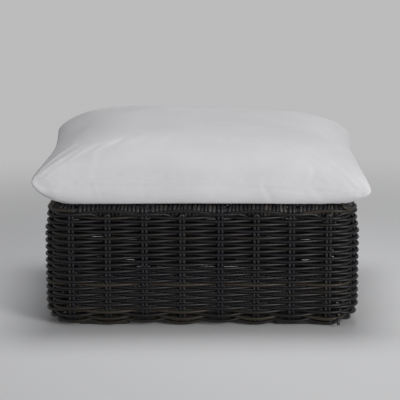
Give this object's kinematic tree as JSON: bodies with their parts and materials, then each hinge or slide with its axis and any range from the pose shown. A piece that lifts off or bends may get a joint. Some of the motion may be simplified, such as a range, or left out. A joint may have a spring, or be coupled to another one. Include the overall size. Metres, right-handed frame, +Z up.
{
  "type": "outdoor ottoman footstool",
  "caption": "Low rectangular patio footstool: a loose plump pale cushion on a base woven from dark resin strand round a welded tube frame, with flat glide feet.",
  "frame": {"origin": "on the floor under the middle of the base", "axes": "+Z up, front faces -Y, the long side runs along X"},
  "size_m": [0.764, 0.664, 0.45],
  "materials": {
    "frame_tube": "powder-coated dark grey tube",
    "rim_strand": "close-wound satin resin strand",
    "wicker_strand": "satin extruded resin strand, charcoal with slight brown and blue-grey variation",
    "deck_webbing": "woven support webbing",
    "foot_glide": "moulded black glide",
    "cushion_fabric": "fine plain-woven pale grey outdoor fabric"
  },
  "bodies": {
    "root": {"top_rail": "frame_tube", "bottom_rail": "frame_tube", "corner_post_front_right": "frame_tube", "corner_post_back_right": "frame_tube", "corner_post_back_left": "frame_tube", "corner_post_front_left": "frame_tube", "cross_bar_left": "frame_tube", "cross_bar_right": "frame_tube", "rim_wrap": "rim_strand", "stake_pair_01": "wicker_strand", "stake_pair_02": "wicker_strand", "stake_pair_03": "wicker_strand", "stake_pair_04": "wicker_strand", "stake_pair_05": "wicker_strand", "stake_pair_06": "wicker_strand", "stake_pair_07": "wicker_strand", "stake_pair_08": "wicker_strand", "stake_pair_09": "wicker_strand", "stake_pair_10": "wicker_strand", "stake_pair_11": "wicker_strand", "stake_pair_12": "wicker_strand", "stake_pair_13": "wicker_strand", "stake_pair_14": "wicker_strand", "stake_pair_15": "wicker_strand", "stake_pair_16": "wicker_strand", "stake_pair_17": "wicker_strand", "stake_pair_18": "wicker_strand", "stake_pair_19": "wicker_strand", "stake_pair_20": "wicker_strand", "stake_pair_21": "wicker_strand", "stake_pair_22": "wicker_strand", "stake_pair_23": "wicker_strand", "stake_pair_24": "wicker_strand", "stake_pair_25": "wicker_strand", "stake_pair_26": "wicker_strand", "stake_pair_27": "wicker_strand", "stake_pair_28": "wicker_strand", "stake_pair_29": "wicker_strand", "stake_pair_30": "wicker_strand", "weaver_first_1": "wicker_strand", "weaver_first_2": "wicker_strand", "weaver_first_3": "wicker_strand", "weaver_first_4": "wicker_strand", "weaver_second_1": "wicker_strand", "weaver_second_2": "wicker_strand", "weaver_second_3": "wicker_strand", "weaver_second_4": "wicker_strand", "rim_cord_lower": "wicker_strand", "rim_cord_upper": "wicker_strand", "seat_deck": "deck_webbing", "foot_front_right": "foot_glide", "foot_back_right": "foot_glide", "foot_back_left": "foot_glide", "foot_front_left": "foot_glide"},
    "cushion": {"cushion": "cushion_fabric"}
  },
  "joints": [
    {"name": "cushion_lift", "type": "slide", "parent": "root", "child": "cushion", "axis": [0, 0, 1], "range_m": [0, 0.25]}
  ]
}
